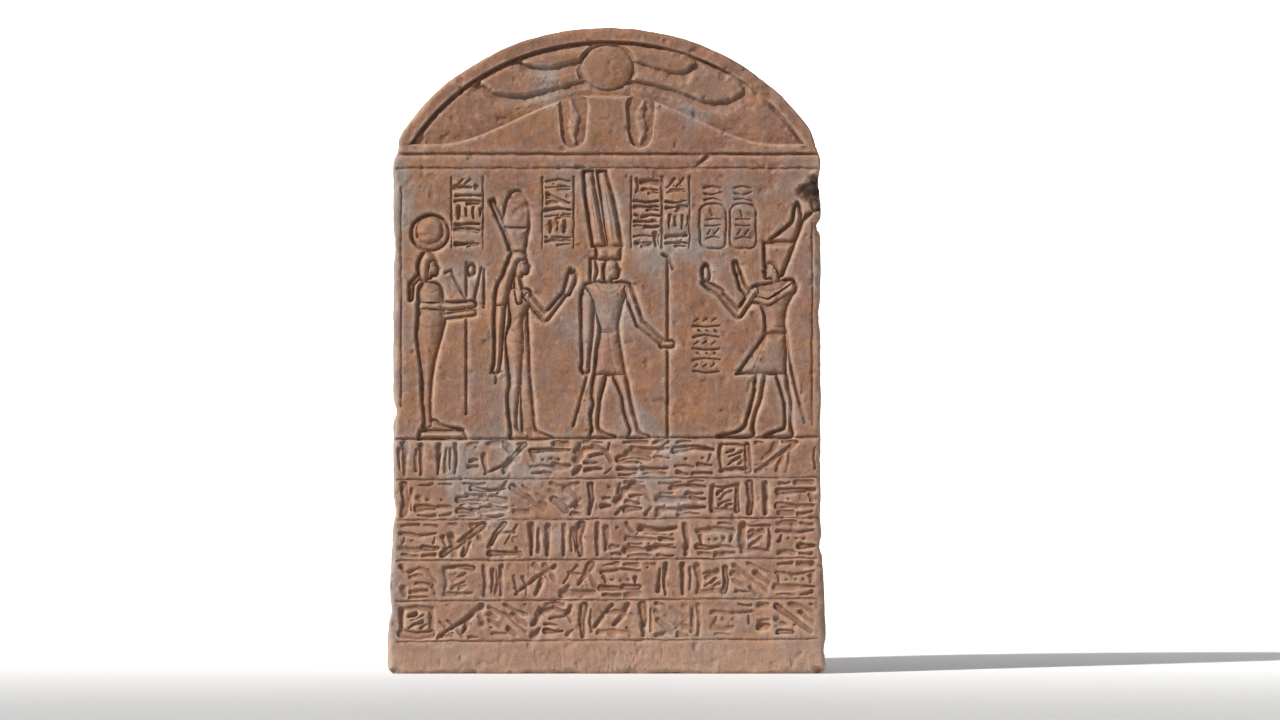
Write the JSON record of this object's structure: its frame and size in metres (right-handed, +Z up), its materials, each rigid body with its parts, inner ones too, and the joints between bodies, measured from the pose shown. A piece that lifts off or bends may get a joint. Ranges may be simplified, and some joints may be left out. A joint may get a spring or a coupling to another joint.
{
  "type": "carved stone stele",
  "caption": "Round-topped stone slab carved in sunk relief with a winged disc, four standing figures and rows of plain strokes; stands on its flat underside.",
  "frame": {"origin": "middle of the flat underside", "axes": "+Z up the height of the slab, -Y out of the carved face, +X to the right of a viewer who looks at the carved face"},
  "size_m": [0.407, 0.1, 0.598],
  "materials": {
    "sandstone": "weathered red-brown sandstone, matt, with grey patina and dark grooves"
  },
  "bodies": {
    "root": {"stele": "sandstone"}
  },
  "joints": []
}
